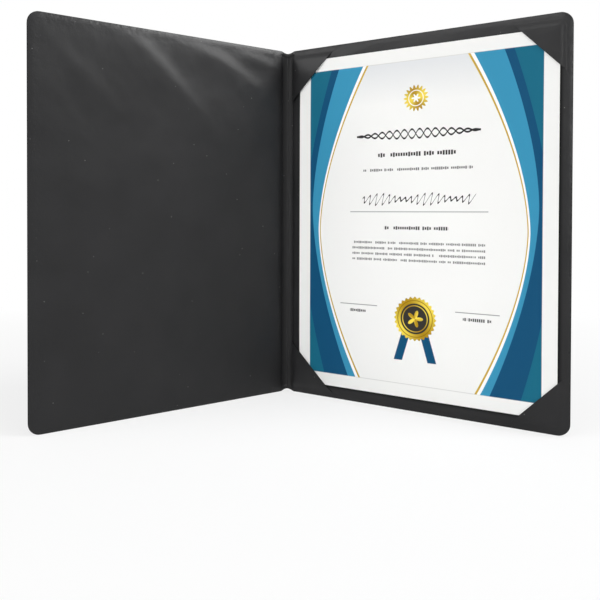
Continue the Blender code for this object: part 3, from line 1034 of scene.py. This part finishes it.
def award_print():
    """Heavy matt card, printed in blues and gold with a generic award layout."""
    made, tree = new_material("matt_card_offset_printed")
    centre = BACK @ Vector(((card_low[0] + card_high[0]) / 2, CARD_FACE, HEIGHT / 2))
    centre = Matrix.Rotation(TURN, 3, "Z") @ centre / MM
    spot = node(tree, "TexCoord", out="Object")
    turned = {"Vector": spot, "Location": -centre, "Rotation": (0, 0, TURN), "Scale": (1 / MM,) * 3}
    flat = node(tree, "Mapping", turned)
    across = node(tree, "SeparateXYZ", (flat,), out="X")
    up = node(tree, "SeparateXYZ", (flat,), out="Z")
    half = node(tree, "Math", (across,), operation="ABSOLUTE")
    side = node(tree, "Math", (PANEL[0], half), operation="SUBTRACT")
    panel = box(tree, across, up, (0, 0), PANEL)
    fibre, paint = sheet_ground(tree, flat, up, panel)
    paint = side_bands(tree, paint, side, up, panel)
    paint = head_ornament(tree, paint, across, up)
    paint = greeked_text(tree, paint, across, up)
    paint = rosette_seal(tree, paint, across, up, half)
    surface = node(tree, "Bump", {"Strength": 0.5, "Distance": 0.02 * MM, "Height": fibre})
    shader = {"Base Color": paint, "Roughness": 0.6, "Specular IOR Level": 0.12, "Normal": surface}
    shader = node(tree, "BsdfPrincipled", shader)
    node(tree, "OutputMaterial", {"Surface": shader})
    return made


# PVC leatherette, embossed: a fine satin pebble over slow ripples
embossed_leatherette = vinyl("pvc_leatherette_embossed", "202021", "262627", 0.4, 1.1, 0.05, 0.01)
# PVC liner, calendered: smoother and a little shinier, with a few specks of dust
liner_vinyl = vinyl("pvc_liner_calendered", "202021", "262627", 0.36, 0.8, 0.02, 0.04)
# PVC weld, trimmed: a thin dull black line round every edge, its darkness painted shade
shaded_cut_vinyl = cut_edge_shade_vinyl()
# Card, offset printed: matt, with crisp flat inks
printed_card = award_print()
# Polyurethane foam, die cut: pale open cells
polyurethane_foam = stock("polyurethane_foam_cut", "d9d8d2", "c4c2ba", 0.7, 0.2, 0.95)
# Greyboard, cut: grey pulp with darker fibres
greyboard = stock("greyboard_cut", "9b958c", "7c766d", 0.4, 0.05, 0.9)

outer_looks = (embossed_leatherette, shaded_cut_vinyl)
inner_looks = (liner_vinyl, shaded_cut_vinyl)


# Stage, lights and camera

def seen_directly(tree):
    """1 where the camera sees, also in gloss and through what is clear, and 0 for lighting."""
    camera_sees = node(tree, "LightPath", out="Is Camera Ray")
    gloss_sees = node(tree, "LightPath", out="Is Glossy Ray")
    glass_sees = node(tree, "LightPath", out="Is Transmission Ray")
    seen = node(tree, "Math", (camera_sees, gloss_sees), operation="MAXIMUM")
    return node(tree, "Math", (seen, glass_sees), operation="MAXIMUM")


def stage():
    """A plain pale floor, which the camera sees as white away from the object's shadow."""
    deselect()
    bpy.ops.mesh.primitive_plane_add(size=30)
    floor = bpy.context.object
    floor.name = "floor"
    made, tree = new_material("studio_floor_painted")
    spot = node(tree, "TexCoord", out="Object")
    reach = node(tree, "VectorMath", (spot,), out="Value", operation="LENGTH")
    away = node(tree, "MapRange", (reach, *FLOOR_CLEARS, FLOOR_BY_OBJECT, 1.0))
    share = node(tree, "Math", (seen_directly(tree), away), operation="MULTIPLY")
    paint = node(tree, "BsdfDiffuse", {"Color": linear("ebebeb")})
    glow = node(tree, "Emission", {"Color": (1, 1, 1, 1), "Strength": 1.0})
    mix = node(tree, "MixShader", (share, paint, glow))
    node(tree, "OutputMaterial", {"Surface": mix})
    floor.data.materials.append(made)


def surround():
    """An even surround, which the camera and glossy or clear surfaces see as white."""
    made = bpy.data.worlds.new("studio")
    bpy.context.scene.world = made
    made.use_nodes = True
    tree = made.node_tree
    tree.nodes.clear()
    strength = node(tree, "MapRange", (seen_directly(tree), 0, 1, FILL_LIGHT, 1.0))
    background = node(tree, "Background", {"Color": (1, 1, 1, 1), "Strength": strength})
    node(tree, "OutputWorld", {"Surface": background})


def softbox(name, place, target, size, power, spread):
    """A square soft lamp that looks at a point of the object."""
    data = bpy.data.lights.new(name, "AREA")
    data.shape = "SQUARE"
    data.size = size
    data.energy = power
    data.spread = math.radians(spread)
    lamp = bpy.data.objects.new(name, data)
    lamp.location = place
    lamp.rotation_euler = (Vector(target) - Vector(place)).to_track_quat("-Z", "Y").to_euler()
    bpy.context.scene.collection.objects.link(lamp)


def camera():
    """The photograph's viewpoint, with the shift that its cropping left."""
    data = bpy.data.cameras.new("camera")
    data.sensor_width = SENSOR
    data.lens = FOCAL_PIXELS / PICTURE * SENSOR
    data.shift_x = 0.5 - MIDDLE_PIXEL[0] / PICTURE
    data.shift_y = MIDDLE_PIXEL[1] / PICTURE - 0.5
    data.clip_start = 0.01
    made = bpy.data.objects.new("camera", data)
    made.location = Vector(CAMERA_PLACE) * MM
    made.rotation_euler = (math.radians(90 - CAMERA_PITCH), math.radians(CAMERA_ROLL), 0)
    bpy.context.scene.collection.objects.link(made)
    bpy.context.scene.camera = made


# All the pieces

outer_skin("back_cover_leatherette", "back_outer_vinyl", BACK, "back_cover", 0.4)
outer_skin("front_cover_leatherette", "front_outer_vinyl", FRONT, "front_cover", 1.9)
inner_skin("back_cover_liner", "back_inner_liner", BACK, "back_cover", BACK_BUCKLES, 0.9)
inner_skin("front_cover_liner", "front_inner_liner", FRONT, "front_cover", FRONT_BUCKLES, 2.6)
corner_pocket("corner_pocket_top_outer", "pocket_top_outer", at_spine=False, at_top=True)
corner_pocket("corner_pocket_bottom_outer", "pocket_bottom_outer", at_spine=False, at_top=False)
corner_pocket("corner_pocket_top_spine", "pocket_top_spine", at_spine=True, at_top=True)
corner_pocket("corner_pocket_bottom_spine", "pocket_bottom_spine", at_spine=True, at_top=False)
spine_and_folds(1, "leatherette", outer_looks, "outer", "spine_outer_vinyl")
spine_and_folds(-1, "liner", inner_looks, "inner", "spine_inner_liner")
certificate()
foam_pad("back_foam", "back_foam_pad", BACK, "back_cover")
foam_pad("front_foam", "front_foam_pad", FRONT, "front_cover")
for board in ("back_board", "front_board"):
    frame["nodes"][board].data.materials.clear()
    frame["nodes"][board].data.materials.append(greyboard)

# The set

stage()
surround()
for lamp in LAMPS:
    softbox(*lamp)
camera()
bpy.context.scene.view_settings.view_transform = "Standard"
